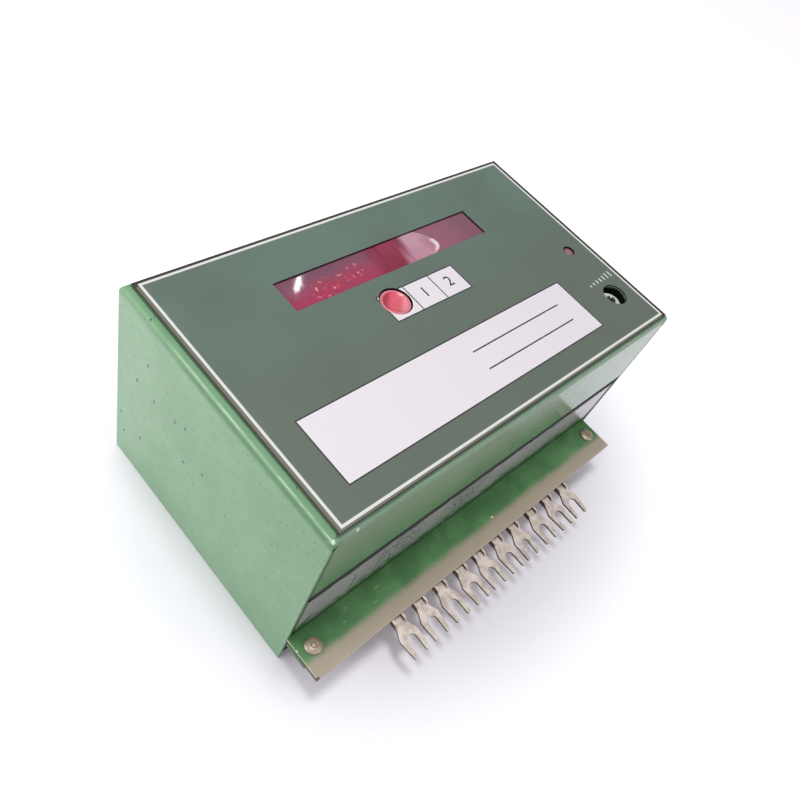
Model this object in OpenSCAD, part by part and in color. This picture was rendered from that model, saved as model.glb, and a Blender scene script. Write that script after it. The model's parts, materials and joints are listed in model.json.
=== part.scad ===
// Panel counter: a folded cover over an aluminium chassis, read through a red window
// and wired by a row of fork terminals that slide under the screws of a terminal strip.
// It lies on its back: the panel faces +Z, its long side runs along X and the forks
// stand out to -Y. The origin is the middle of the back face. Millimetres.

/* [Case] */
// Length of the case along X
case_l = 152.4; // [148:0.1:175]
// Depth of the case along Y
case_d = 88.9; // [87:0.1:105]
// Height from the back face to the printed face of the panel
case_h = 76.2; // [68:0.1:90]
// Thickness of the cover's sheet
sheet_t = 1; // [0.8:0.1:1.4]
// Outside radius of the cover's folds
fold_r = 3; // [2:0.1:3.6]
// Height of the cover's short lip over the fork side
lip_h = 32.7; // [30:0.1:34]
// Width of the open seams at the cover's corners
seam_w = 0.5; // [0.3:0.05:0.8]
// Diameter of the relief hole at the end of each seam
relief_d = 1.6; // [1:0.1:2]

/* [Panel] */
// Distance of the printed overlay from the case's ends
overlay_end = 2.25; // [2:0.05:5]
// Distance of the printed overlay from the case's near side
overlay_near = 1; // [0.8:0.05:3]
// Distance of the printed overlay from the case's far side
overlay_far = 1.85; // [1.2:0.05:3]
// Thickness of the printed overlay
overlay_t = 0.5; // [0.2:0.05:0.8]
// Length of the display opening
window_l = 80.5; // [76:0.1:84]
// Height of the display opening
window_d = 11.3; // [10:0.1:12.5]
// Distance of the display opening's middle from the panel's middle
window_y = 21; // [20.5:0.1:24]
// Diameter of the hole for the push button
button_hole_d = 10.5; // [10:0.1:12]
// Place of the push button along X
button_x = -11.6; // [-20:0.1:-6]
// Place of the push button along Y
button_y = 5.4; // [2:0.1:5.8]
// Diameter of the hole for the indicator
led_hole_d = 4.3; // [3.8:0.1:5.4]
// Distance of the indicator from the case's right end
led_inset = 12.4; // [10:0.1:20]
// Place of the indicator along Y
led_y = -5; // [-12:0.1:4]
// Diameter of the screwdriver hole over the adjuster
adjust_hole_d = 8.9; // [8.4:0.1:11]
// Distance of the adjuster from the case's right end
adjust_inset = 13.2; // [12:0.1:20]
// Distance of the adjuster from the case's near side
adjust_near = 16.85; // [16:0.05:20]

/* [Terminal row] */
// Distance between neighbouring forks
fork_pitch = 9.525; // [8.6:0.005:10.5]
// Width of a fork across its shoulders
fork_w = 7.6; // [6.8:0.1:8]
// Width of a fork across its tips
fork_tip_w = 6.5; // [6:0.1:6.8]
// Width of a fork's open slot
fork_slot_w = 3.7; // [3.3:0.1:3.9]
// Length of a fork's head from its bend to the tips
fork_head_l = 10; // [8.6:0.1:11]
// Length of a fork's channel outside the board
fork_neck_l = 3.2; // [2.6:0.1:5]
// Width of a fork's channel
fork_neck_w = 4.8; // [4:0.1:5.6]
// Thickness of the fork metal
fork_t = 0.8; // [0.6:0.05:1]
// Height of the channel's side walls over its floor
fork_wall_h = 1.3; // [1:0.1:2]
// Distance of the terminal board's end from the case's left end
board_left = 0; // [0:0.1:3]
// Distance of the terminal board's end from the case's right end
board_right = 3.2; // [0:0.1:5]
// Reach of the terminal board from the case's near side
board_reach = 14.2; // [12:0.1:18]
// Thickness of the laminate boards
board_t = 1.6; // [1.2:0.1:2]
// Height of the terminal board's top over the back face
board_z = 15.3; // [13:0.1:18]
// Bare edge of the board beyond the chassis flange
board_overhang = 5.2; // [4.8:0.1:6]
// Distance of the rivets from the board's ends
rivet_inset = 5.05; // [4.5:0.05:8]
// Distance of the rivets from the case's near side
rivet_reach = 5.95; // [5.4:0.05:6.2]
// Diameter of a rivet's head
rivet_head_d = 5.4; // [5:0.1:6]
// Diameter of a rivet's shank
rivet_d = 3.2; // [2.8:0.1:3.6]

/* [Chassis] */
// Thickness of the chassis sheet
chassis_t = 1.5; // [1.2:0.1:1.8]
// Inside radius of the chassis folds
bend_r = 1; // [0.6:0.1:1.4]
// Gap between the chassis and the cover's end walls
chassis_gap = 1.4; // [0.8:0.1:2]
// Distance of the terminal wall behind the cover's near side
wall_inset = 0.2; // [0.1:0.05:0.5]
// Distance of the shelf below the lip's edge
shelf_drop = 2.6; // [2:0.1:4]
// Thickness of the back plate
back_t = 1.5; // [1.2:0.1:2]

/* [Inside] */
// Diameter of the columns that carry the boards
column_d = 6; // [5:0.1:6.4]
// Distance of the columns from the case's ends
column_inset_x = 9.2; // [8.4:0.1:10]
// Distance of the columns from the case's long sides
column_inset_y = 6; // [5.6:0.1:6.4]
// Height of the main board over the shelf
main_lift = 6; // [5:0.1:8]
// Distance of the front board's top below the panel's inner face
front_drop = 12.5; // [12:0.1:13]
// Diameter of the screw shanks
screw_d = 2.9; // [2.5:0.1:3]
// Diameter of the pan screw heads
screw_head_d = 5.4; // [5:0.1:5.8]
// Height of the display digits
digit_h = 6.4; // [5:0.1:7]
// Distance between neighbouring digits
digit_pitch = 10.1; // [9.6:0.05:10.4]
// Diameter of the adjuster's shaft
shaft_d = 3.4; // [2.8:0.1:3.8]
// Outside diameter of the adjuster's bushing
bushing_d = 7.4; // [6.4:0.1:8]
// Depth of the adjuster's shaft below the printed face
shaft_depth = 2.6; // [1.8:0.1:4]
// Travel of the push button
button_travel = 1.5; // [1:0.1:1.6]
// Depth of the push button's rim below the printed face
button_sink = 0.4; // [0.2:0.1:1]
// Depth of the dish in the push button's face
dish_depth = 0.8; // [0.4:0.1:1.2]
// Width of the rim round the push button's dish
dish_rim = 0.9; // [0.7:0.1:1.6]
// Diameter of the push button's stem
stem_d = 4; // [3.6:0.1:4.4]

/* [Hidden] */
$fn = 48;
// Radial clearances: running fits, seated pieces, and pieces that pass each other
running = 0.05;
seat_gap = 0.15;
pass_gap = 0.3;
eps = 0.01;
over = 1;

inside_l = case_l - 2 * sheet_t;
inside_d = case_d - 2 * sheet_t;
near_y = -case_d / 2;
cover_top = case_h - overlay_t;
cover_in = cover_top - sheet_t;
lip_z = case_h - lip_h;
seam_top = cover_top - fold_r - relief_d / 2;
overlay_l = case_l - 2 * overlay_end;
overlay_d = case_d - overlay_near - overlay_far;
overlay_y = (overlay_near - overlay_far) / 2;
window_x = -0.4;
led_x = case_l / 2 - led_inset;
adjust_x = case_l / 2 - adjust_inset;
adjust_y = near_y + adjust_near;

board_l = case_l - board_left - board_right;
board_shift = (board_left - board_right) / 2;
board_under = board_z - board_t;
board_edge_y = near_y - board_reach;
flange_tip_y = board_edge_y + board_overhang;
wall_y = near_y + wall_inset;
board_inner_y = wall_y - bend_r - seat_gap;
chassis_l = inside_l - 2 * chassis_gap;
shelf_top = lip_z - shelf_drop;
shelf_under = shelf_top - chassis_t;
far_wall_y = inside_d / 2 - pass_gap;
rivet_y = near_y - rivet_reach;
rivet_x = [for (s = [-1, 1]) board_shift + s * (board_l / 2 - rivet_inset)];

// Fork places: an even row, each fork a little bent by use
fork_count = 10;
fork_nudge = [0.1, 0, 0, 0.4, 0, 0, -0.4, 0.4, 0.3, 0];
fork_droop = [4, 6, 2, 1.5, 4, 2.5, 9, 5, 1.5, 6];
fork_bend_y = board_edge_y - fork_neck_l;
fork_floor = board_under - fork_wall_h - fork_t;
fork_tail_y = flange_tip_y - 0.6;
fork_flare = 2.8;
slot_root = 3;

column_x = case_l / 2 - column_inset_x;
column_y = case_d / 2 - column_inset_y;
columns = [for (sx = [-1, 1]) for (sy = [-1, 1]) [sx * column_x, sy * column_y]];
thread_d = screw_d + 2 * running;
hole_d = screw_d + 2 * pass_gap;
main_z = shelf_top + main_lift;
main_top = main_z + board_t;
front_top = cover_in - front_drop;
front_z = front_top - board_t;
inner_margin_x = 4.2;
inner_margin_y = 1.8;
inner_board_l = inside_l - 2 * inner_margin_x;
inner_board_d = inside_d - 2 * inner_margin_y;
window_back_t = 1.5;
window_lap = 3;
cover_screw_x = 50;
cover_screw_z = 20;

digit_count = 8;
digit_l = digit_pitch - 0.2;
digit_d = 19;
digit_lift = 0.5;

switch_h = 6;
switch_top = front_top + switch_h;
cap_d = button_hole_d - 2 * pass_gap;
cap_flange_d = button_hole_d + 1.2;
cap_under = cover_in - 3.5;
cap_top = case_h - button_sink;
dish_d = cap_d - 2 * dish_rim;
dish_r = dish_d * dish_d / 8 / dish_depth + dish_depth / 2;
stem_l = 4.8;
spring_wire = 0.4;
spring_d = 7;
spring_turns = 4;
spring_flat = 0.5;
spring_gap = 0.015;
spring_l = cap_under - switch_top;

pot_d = 15;
pot_h = 6.4;
shaft_proud = 0.7;
shaft_top = case_h - shaft_depth;
bushing_top = shaft_top - shaft_proud;
led_gap = 0.1;
led_d = led_hole_d - 2 * led_gap;
led_top = case_h - 0.2;
led_crown = 0.6;
led_r = led_d * led_d / 8 / led_crown + led_crown / 2;
led_body_h = 8.6;

strap_t = 1;
strap_d = 14;
strap_foot = 8;
core_leg = 7;
core_d = 18;
core_l = 6 * core_leg;
core_room = 10;
core_x = column_x - core_l / 2 - core_room;
core_spare = 2.9;
core_h = shelf_under - back_t - strap_t - core_spare;

power_room = 5;
power_gap = 9;
power_margin = 9.45;
power_d = inside_d - 2 * power_margin;
power_l = core_x - core_l / 2 - power_gap + column_x - power_room;
power_x = power_room - column_x + power_l / 2;
power_lift = 5;
power_z = back_t + power_lift;
power_top = power_z + board_t;
post_inset = 4;
power_posts = [for (sx = [-1, 1]) for (sy = [-1, 1])
    [power_x + sx * (power_l / 2 - post_inset), sy * (power_d / 2 - post_inset)]];
snap_d = 3;
spacer_d = 6;
spacer_tip_h = 2;

// Bought-in pieces on the boards; the tall ones follow the shelf's height
pin_w = 0.5;
pin_pitch = 2.54;
chip_l = 19.4;
chip_d = 6.4;
chip_h = 3.3;
chip_lift = 0.6;
chip_notch_d = 2.4;
chip_step_x = 34;
chip_step_y = 18;
chip_y = 4;
header_l = 40;
header_d = 5;
header_y = -inner_board_d / 3;
part_inset = 19.5;
store_x = power_x - power_l / 2 + part_inset;
capacitor_d = 18;
capacitor_spare = 6.3;
capacitor_h = shelf_under - power_top - capacitor_spare;
capacitor_y = -16;
rectifier_l = 19;
rectifier_d = 5;
rectifier_h = 12;
rectifier_lift = 3;
rectifier_y = 6;
lead_pitch = 5.1;
lead_w = 1;
regulator_x = power_x + power_l / 2 - part_inset;
regulator_y = 16;
regulator_w = 10;
regulator_d = 4.6;
regulator_h = 9;
regulator_lift = 4;
tab_t = 1.3;
tab_h = 15;
sink_w = 24;
sink_spare = 8.3;
sink_h = shelf_under - power_top - sink_spare;
sink_wing = 9;
sink_t = 1.5;
cable_hole_l = 24;
cable_hole_d = 12;

// Screws and studs
head_h = 1.2;
crown_h = 0.7;
sunk_h = 1.1;
sunk_gap = 0.2;
stud_l = 5;
back_screw_l = 6;
bore_spare = 1;

// Shared shapes

// Upright outline with its two top corners rounded
module round_top(w, h, r) {
    translate([-w / 2, 0]) square([w, h - r]);
    translate([-w / 2 + r, 0]) square([w - 2 * r, h]);
    for (s = [-1, 1]) translate([s * (w / 2 - r), h - r]) circle(r = r);
}

// Rectangle with its lower right corner rounded
module round_corner(w, h, r) {
    square([w - r, h]);
    translate([0, r]) square([w, h - r]);
    translate([w - r, r]) circle(r = r);
}

// Block with its four top edges rounded, as folded sheet has them
module folded_block(l, d, h, r) {
    intersection() {
        translate([0, d / 2 + over, 0]) rotate([90, 0, 0])
            linear_extrude(d + 2 * over) round_top(l, h, r);
        translate([-l / 2 - over, 0, 0]) rotate([90, 0, 90])
            linear_extrude(l + 2 * over) round_top(d, h, r);
    }
}

// Every opening of the front panel, as a flat outline
module panel_openings() {
    translate([window_x, window_y]) square([window_l, window_d], center = true);
    translate([button_x, button_y]) circle(d = button_hole_d);
    translate([led_x, led_y]) circle(d = led_hole_d);
    translate([adjust_x, adjust_y]) circle(d = adjust_hole_d);
}

// Solid made by running a Y-Z outline along X
module along_x(l, shift = 0) {
    translate([shift - l / 2, 0, 0]) rotate([90, 0, 90]) linear_extrude(l) children();
}

// Flat board with a hole at each of a list of places
module drilled_board(l, d, z, holes, drill, x = 0, y = 0) {
    difference() {
        translate([x - l / 2, y - d / 2, z]) cube([l, d, board_t]);
        for (h = holes) translate([h[0], h[1], z - over]) cylinder(d = drill, h = board_t + 2 * over);
    }
}

// Pan head screw pointing down, its head seated at z = 0
module pan_screw(l, slot = 0.9) {
    difference() {
        union() {
            cylinder(d = screw_head_d, h = head_h);
            translate([0, 0, head_h]) cylinder(d1 = screw_head_d, d2 = 0.7 * screw_head_d, h = crown_h);
            translate([0, 0, -l]) cylinder(d = screw_d, h = l + eps);
        }
        translate([-screw_head_d, -slot / 2, head_h / 2]) cube([2 * screw_head_d, slot, 2 * head_h]);
    }
}

// Sub-parts: case and panel

module cover() {
    color("#6f9c76") difference() {
        folded_block(case_l, case_d, cover_top, fold_r);
        translate([0, 0, -over]) folded_block(inside_l, inside_d, cover_in + over, fold_r - sheet_t);
        translate([-inside_l / 2, near_y - over, -over])
            cube([inside_l, sheet_t + 2 * over, lip_z + over]);
        translate([0, 0, cover_in - over]) linear_extrude(sheet_t + 2 * over) panel_openings();
        for (s = [-1, 1]) {
            corner_seam(s, near_y, lip_z);
            corner_seam(s, case_d / 2 - sheet_t, 0);
            translate([s * cover_screw_x, inside_d / 2 - over, cover_screw_z]) rotate([-90, 0, 0])
                cylinder(d = hole_d, h = sheet_t + 2 * over);
        }
    }
}

// Open seam between an end wall and the wall that starts at y0, with its relief hole
module corner_seam(s, y0, z0) {
    x0 = s > 0 ? inside_l / 2 - seam_w : -inside_l / 2;
    translate([x0, y0 - over, z0 - over]) cube([seam_w, sheet_t + 2 * over, seam_top - z0 + over]);
    translate([s * (inside_l / 2 - seam_w / 2), y0 - over, seam_top]) rotate([-90, 0, 0])
        cylinder(d = relief_d, h = sheet_t + 2 * over);
}

module overlay() {
    color("#66766c") translate([0, 0, cover_top]) linear_extrude(overlay_t) difference() {
        translate([0, overlay_y]) square([overlay_l, overlay_d], center = true);
        panel_openings();
    }
}

// Red filter: its face fills the opening, its flange is bonded behind the cover
module display_window() {
    face_h = case_h - 0.1 - cover_in;
    color("#a0304e") translate([window_x, window_y, cover_in]) {
        translate([0, 0, -window_back_t]) linear_extrude(window_back_t)
            square([window_l + 2 * window_lap, window_d + 2 * window_lap], center = true);
        linear_extrude(face_h)
            square([window_l - 2 * seat_gap, window_d - 2 * seat_gap], center = true);
    }
}

// Sub-parts: chassis and terminal row

// Section of the folded chassis: shelf between two walls, and the terminal flange
module chassis_outline() {
    wall_in = wall_y + chassis_t;
    outer_r = bend_r + chassis_t;
    width = far_wall_y - wall_y;
    flange_top = board_under + bend_r;
    corner_h = (shelf_under - board_under) / 2;
    difference() {
        union() {
            difference() {
                translate([wall_y + width / 2, back_t]) round_top(width, shelf_top - back_t, outer_r);
                translate([wall_y - over, back_t - over]) square([width / 2, flange_top - back_t + over]);
            }
            translate([flange_tip_y, board_under - chassis_t])
                round_corner(wall_in - flange_tip_y, corner_h, outer_r);
        }
        translate([wall_y + width / 2, back_t - over])
            round_top(width - 2 * chassis_t, shelf_under - back_t + over, bend_r);
        translate([flange_tip_y - over, board_under])
            round_corner(wall_y - flange_tip_y + over, corner_h, bend_r);
    }
}

module chassis() {
    far_in = far_wall_y - chassis_t;
    color("#8d8d86") difference() {
        union() {
            along_x(board_l, board_shift) translate([flange_tip_y, board_under - chassis_t])
                square([wall_y - bend_r - flange_tip_y, chassis_t]);
            along_x(chassis_l) chassis_outline();
        }
        for (x = rivet_x) translate([x, rivet_y, board_under - chassis_t - over])
            cylinder(d = rivet_d + 2 * running, h = chassis_t + 2 * over);
        for (c = columns) translate([c[0], c[1], shelf_under - over])
            cylinder(d = hole_d, h = chassis_t + 2 * over);
        for (s = [-1, 1]) translate([s * cover_screw_x, far_in - over, cover_screw_z])
            rotate([-90, 0, 0]) cylinder(d = thread_d, h = chassis_t + 2 * over);
        translate([-inside_l / 6, 0, shelf_under - over]) linear_extrude(chassis_t + 2 * over)
            square([cable_hole_l, cable_hole_d], center = true);
    }
}

// Closing plate with a folded edge under the terminal flange
module back_plate() {
    plate_l = inside_l - 2 * pass_gap;
    plate_d = inside_d / 2 - pass_gap - wall_y;
    edge_h = board_under - chassis_t - pass_gap;
    color("#9a9a94") difference() {
        along_x(plate_l) translate([inside_d / 2 - pass_gap, 0]) mirror([1, 0]) difference() {
            round_corner(plate_d, edge_h, bend_r + back_t);
            translate([-over, back_t]) round_corner(plate_d - back_t + over, edge_h, bend_r);
        }
        for (c = columns) translate([c[0], c[1], 0]) {
            translate([0, 0, -over]) cylinder(d = hole_d, h = back_t + 2 * over);
            translate([0, 0, -eps])
                cylinder(d1 = screw_head_d + 2 * sunk_gap, d2 = hole_d, h = sunk_h + running);
        }
        for (p = power_posts) translate([p[0], p[1], -over])
            cylinder(d = snap_d + 2 * running, h = back_t + 2 * over);
        for (s = [-1, 1]) translate([core_x + s * strap_screw_x(), 0, -over])
            cylinder(d = thread_d, h = back_t + 2 * over);
    }
}

module terminal_board() {
    board_d = board_inner_y - board_edge_y;
    color("#8a7e78") drilled_board(board_l, board_d, board_under, [for (x = rivet_x) [x, rivet_y]],
        rivet_d + 2 * running, board_shift, board_inner_y - board_d / 2);
}

// Blind rivet: domed head with the broken mandrel in its dimple, shank and set tail
module rivet(x) {
    grip = board_t + chassis_t;
    head_h = 1.3;
    tail_h = 2;
    dimple_d = 2;
    dimple_h = 0.5;
    mandrel_d = 1.4;
    color("#a58f82") translate([x, rivet_y, board_z]) difference() {
        union() {
            intersection() {
                cylinder(d = rivet_head_d, h = head_h);
                translate([0, 0, head_h - rivet_head_d]) sphere(r = rivet_head_d, $fn = 64);
            }
            translate([0, 0, -grip - eps]) cylinder(d = rivet_d, h = grip + 2 * eps);
            translate([0, 0, -grip - tail_h]) cylinder(d1 = rivet_d, d2 = rivet_d + 1.4, h = tail_h);
        }
        difference() {
            translate([0, 0, head_h - dimple_h]) cylinder(d = dimple_d, h = 2 * head_h);
            cylinder(d = mandrel_d, h = head_h - dimple_h / 4);
        }
    }
}

module rivet_left() {
    rivet(rivet_x[0]);
}

module rivet_right() {
    rivet(rivet_x[1]);
}

// Flat outline of a fork's head, from the bend at y = 0 towards the tips
module fork_head() {
    tine = (fork_tip_w - fork_slot_w) / 2;
    tip_y = -fork_head_l + tine / 2;
    difference() {
        union() {
            polygon([[-fork_neck_w / 2, 0], [fork_neck_w / 2, 0], [fork_w / 2, -fork_flare],
                     [fork_tip_w / 2, tip_y], [-fork_tip_w / 2, tip_y], [-fork_w / 2, -fork_flare]]);
            for (s = [-1, 1]) translate([s * (fork_tip_w - tine) / 2, tip_y]) circle(d = tine);
        }
        translate([0, -slot_root - fork_slot_w / 2]) circle(d = fork_slot_w);
        translate([-fork_slot_w / 2, -fork_head_l - over])
            square([fork_slot_w, fork_head_l + over - slot_root - fork_slot_w / 2]);
    }
}

// Fork terminal: channel soldered under the board's edge, head bent a little down
module fork(i) {
    a = fork_droop[i];
    half = fork_t / 2;
    mid_z = fork_floor + half;
    mitre = half * tan(a / 2);
    reach = fork_head_l + over;
    neck_end_y = fork_bend_y - half;
    wall_end_y = fork_bend_y + half;
    x = board_shift + (i - (fork_count - 1) / 2) * fork_pitch + fork_nudge[i];
    color("#b3a294") translate([x, 0, 0]) {
        intersection() {
            along_x(fork_w + 2 * over) polygon([
                [fork_tail_y, fork_floor], [fork_tail_y, fork_floor + fork_t],
                [fork_bend_y - mitre, fork_floor + fork_t],
                [fork_bend_y - half * sin(a) - reach * cos(a), mid_z + half * cos(a) - reach * sin(a)],
                [fork_bend_y + half * sin(a) - reach * cos(a), mid_z - half * cos(a) - reach * sin(a)],
                [fork_bend_y + mitre, fork_floor]]);
            union() {
                translate([-fork_neck_w / 2, neck_end_y, mid_z - over])
                    cube([fork_neck_w, fork_tail_y + over - neck_end_y, 2 * over]);
                translate([0, fork_bend_y, mid_z]) rotate([a, 0, 0])
                    translate([0, 0, -over]) linear_extrude(2 * over) fork_head();
            }
        }
        for (s = [-1, 1]) along_x(fork_t, s * (fork_neck_w - fork_t) / 2)
            polygon([[wall_end_y, mid_z], [fork_tail_y, mid_z], [fork_tail_y, board_under],
                     [board_edge_y - fork_neck_l / 2, board_under], [wall_end_y, fork_floor + fork_t]]);
    }
}

// Sub-parts: front board and what the panel shows

module front_board() {
    color("#4f7a50") drilled_board(inner_board_l, inner_board_d, front_z, columns, hole_d);
}

// Push button: dished lens in the panel's hole, flange behind the panel, stem into the switch
module push_button() {
    edge = 0.4;
    color("#e06478") translate([button_x, button_y, 0]) difference() {
        union() {
            translate([0, 0, cap_under]) cylinder(d = cap_flange_d, h = cover_in - pass_gap - cap_under);
            translate([0, 0, cap_under]) cylinder(d = cap_d, h = cap_top - edge - cap_under);
            translate([0, 0, cap_top - edge]) cylinder(d1 = cap_d, d2 = cap_d - 2 * edge, h = edge);
            translate([0, 0, cap_under - stem_l]) cylinder(d = stem_d, h = stem_l + eps);
        }
        translate([0, 0, cap_top - dish_depth + dish_r]) sphere(r = dish_r);
    }
}

// Points of one ring of the spring's wire, u turns along it
function spring_ring(u) =
    let (rise = min(max((u - spring_flat) / (spring_turns - 2 * spring_flat), 0), 1),
         z = spring_wire / 2 + spring_gap + rise * (spring_l - spring_wire - 2 * spring_gap),
         a = 360 * u)
    [for (k = [0:7]) let (r = (spring_d - spring_wire) / 2 + spring_wire / 2 * cos(45 * k))
        [r * cos(a), r * sin(a), z + spring_wire / 2 * sin(45 * k)]];

module button_spring() {
    rings = spring_turns * 14;
    points = [for (i = [0:rings]) each spring_ring(spring_turns * i / rings)];
    sides = [for (i = [0:rings - 1]) for (k = [0:7])
        let (n = (k + 1) % 8) [8 * i + k, 8 * i + 8 + k, 8 * i + 8 + n, 8 * i + n]];
    ends = [[for (k = [0:7]) k], [for (k = [0:7]) 8 * rings + 7 - k]];
    color("#c0c0c0") translate([button_x, button_y, switch_top])
        polyhedron(points, concat(sides, ends));
}

module switch_body() {
    w = 10;
    bore_depth = stem_l - spring_l + button_travel + 0.6;
    color("#2b2b2b") translate([button_x, button_y, front_top]) difference() {
        translate([-w / 2, -w / 2, 0]) cube([w, w, switch_h]);
        translate([0, 0, switch_h - bore_depth]) cylinder(d = stem_d + 2 * running, h = bore_depth + over);
    }
}

module indicator_led() {
    color("#c06070") translate([led_x, led_y, 0]) {
        intersection() {
            translate([0, 0, led_top - led_r]) sphere(r = led_r);
            translate([0, 0, led_top - led_crown - eps]) cylinder(d = led_d, h = led_crown + over);
        }
        translate([0, 0, led_top - led_body_h]) cylinder(d = led_d, h = led_body_h - led_crown);
        translate([0, 0, led_top - led_body_h]) cylinder(d = led_d + 0.9, h = 1);
        for (s = [-1, 1]) translate([(s * pin_pitch - pin_w) / 2, -pin_w / 2, front_top])
            cube([pin_w, pin_w, led_top - led_body_h - front_top + eps]);
    }
}

module sensitivity_pot() {
    bore_floor = front_top + 2;
    color("#b9b9b4") translate([adjust_x, adjust_y, front_top]) difference() {
        union() {
            cylinder(d = pot_d, h = pot_h);
            cylinder(d = bushing_d, h = bushing_top - front_top);
        }
        translate([0, 0, bore_floor - front_top])
            cylinder(d = shaft_d + 2 * running, h = case_h);
    }
}

module pot_shaft() {
    foot = front_top + 2 + running;
    slot_w = 0.8;
    slot_depth = 1;
    color("#4a4642") translate([adjust_x, adjust_y, 0]) difference() {
        translate([0, 0, foot]) cylinder(d = shaft_d, h = shaft_top - foot);
        rotate(35) translate([-shaft_d, -slot_w / 2, shaft_top - slot_depth])
            cube([2 * shaft_d, slot_w, 2 * slot_depth]);
    }
}

// Seven-segment digit: moulded block with a shallow face recess and two rows of pins
module digit(i) {
    x = window_x + (i - (digit_count - 1) / 2) * digit_pitch;
    color("#5a1420") translate([x, window_y, front_top]) {
        difference() {
            translate([-digit_l / 2, -digit_d / 2, digit_lift]) cube([digit_l, digit_d, digit_h]);
            translate([-digit_l / 2 + 0.8, -digit_d / 2 + 0.8, digit_lift + digit_h - 0.3])
                cube([digit_l - 1.6, digit_d - 1.6, 1]);
        }
        for (s = [-1, 1]) for (k = [-1:1])
            translate([k * pin_pitch - pin_w / 2, s * (digit_d / 2 - 3 * pin_w) - pin_w / 2, 0])
                cube([pin_w, pin_w, digit_lift + eps]);
    }
}

// Spacer between two boards, its stud screwed into the column below
module standoff(z0, z1, stud, bore) {
    difference() {
        union() {
            translate([0, 0, z0]) cylinder(d = column_d, h = z1 - z0);
            translate([0, 0, z0 - stud]) cylinder(d = screw_d, h = stud + eps);
        }
        translate([0, 0, z1 - bore]) cylinder(d = thread_d, h = bore + over);
    }
}

module front_standoffs() {
    color("#c9b36a") for (c = columns) translate([c[0], c[1], 0])
        standoff(main_top, front_z, board_t + main_lift / 2, main_lift / 2);
}

module front_screws() {
    color("#c0c0c0") for (c = columns) translate([c[0], c[1], front_top])
        pan_screw(board_t + main_lift / 2 - 0.4);
}

// Sub-parts: main board

module main_board() {
    color("#4f7a50") drilled_board(inner_board_l, inner_board_d, main_z, columns, hole_d);
}

module main_standoffs() {
    color("#c9b36a") for (c = columns) translate([c[0], c[1], 0])
        standoff(shelf_top, main_z, chassis_t + stud_l, main_lift / 2 + pass_gap);
}

// Dual-in-line chip: moulded body with its end notch and sixteen legs
module chip(i) {
    col = i % 3;
    row = floor(i / 3);
    leg_y = (chip_d + pin_w) / 2 - eps;
    color("#1f1f1f") translate([(col - 1) * chip_step_x, chip_y + row * chip_step_y, main_top]) {
        difference() {
            translate([-chip_l / 2, -chip_d / 2, chip_lift]) cube([chip_l, chip_d, chip_h]);
            translate([-chip_l / 2, 0, chip_h]) cylinder(d = chip_notch_d, h = chip_h);
        }
        for (s = [-1, 1]) for (k = [0:7])
            translate([(k - 3.5) * pin_pitch - pin_w / 2, s * leg_y - pin_w / 2, 0])
                cube([pin_w, pin_w, chip_lift + chip_h / 2]);
    }
}

// Pin header that links the main board to the front board
module link_header() {
    color("#2b2b2b") translate([-header_l / 2, header_y - header_d / 2, main_top])
        cube([header_l, header_d, front_z - main_top]);
}

// Sub-parts: columns and screws

module back_posts() {
    color("#c9b36a") for (c = columns) translate([c[0], c[1], back_t]) difference() {
        cylinder(d = column_d, h = shelf_under - back_t);
        translate([0, 0, -over]) cylinder(d = thread_d, h = back_screw_l + bore_spare + over);
        translate([0, 0, shelf_under - back_t - stud_l - bore_spare])
            cylinder(d = thread_d, h = stud_l + bore_spare + over);
    }
}

module back_screws() {
    color("#b8b8b8") for (c = columns) translate([c[0], c[1], 0]) difference() {
        union() {
            cylinder(d1 = screw_head_d, d2 = screw_d, h = sunk_h);
            cylinder(d = screw_d, h = back_t + back_screw_l);
        }
        translate([-screw_head_d, -0.4, -over]) cube([2 * screw_head_d, 0.8, over + 0.5]);
    }
}

module cover_screws() {
    color("#b8b8b8") for (s = [-1, 1])
        translate([s * cover_screw_x, case_d / 2, cover_screw_z]) rotate([-90, 0, 0])
            pan_screw(sheet_t + pass_gap + chassis_t + 1.5);
}

// Sub-parts: power supply

module power_board() {
    color("#4f7a50") drilled_board(power_l, power_d, power_z, power_posts, snap_d + 2 * running, power_x);
}

// Nylon spacers that snap into the back plate and the power board
module power_spacers() {
    color("#e8e6dc") for (p = power_posts) translate([p[0], p[1], 0]) {
        translate([0, 0, back_t]) cylinder(d = spacer_d, h = power_lift);
        translate([0, 0, seat_gap]) cylinder(d = snap_d, h = power_top + spacer_tip_h / 2);
        translate([0, 0, power_top]) cylinder(d1 = snap_d + 1, d2 = snap_d - 1, h = spacer_tip_h);
    }
}

module filter_capacitor() {
    r = capacitor_d / 2;
    h = capacitor_h;
    groove = 0.6;
    edge = 0.8;
    color("#33507a") translate([store_x, capacitor_y, power_top]) rotate_extrude() polygon([
        [0, 0], [r, 0], [r, 5 * groove], [r - groove, 6 * groove], [r, 7 * groove], [r, h - edge],
        [r - edge, h], [0, h]]);
}

module bridge_rectifier() {
    color("#1f1f1f") translate([store_x, rectifier_y, power_top]) {
        translate([-rectifier_l / 2, -rectifier_d / 2, rectifier_lift])
            cube([rectifier_l, rectifier_d, rectifier_h]);
        for (k = [-1.5:1.5]) translate([k * lead_pitch - lead_w / 2, -lead_w / 2, 0])
            cube([lead_w, lead_w, rectifier_lift + eps]);
    }
}

// Three-leg regulator, its tab against the heat sink
module voltage_regulator() {
    color("#3a3a3a") translate([regulator_x, regulator_y, power_top]) {
        translate([-regulator_w / 2, -regulator_d, regulator_lift])
            cube([regulator_w, regulator_d, regulator_h]);
        translate([-regulator_w / 2, -tab_t, regulator_lift]) cube([regulator_w, tab_t, tab_h]);
        for (k = [-1:1]) translate([k * pin_pitch - pin_w / 2, -2 * tab_t - pin_w / 2, 0])
            cube([pin_w, pin_w, regulator_lift + eps]);
    }
}

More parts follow.
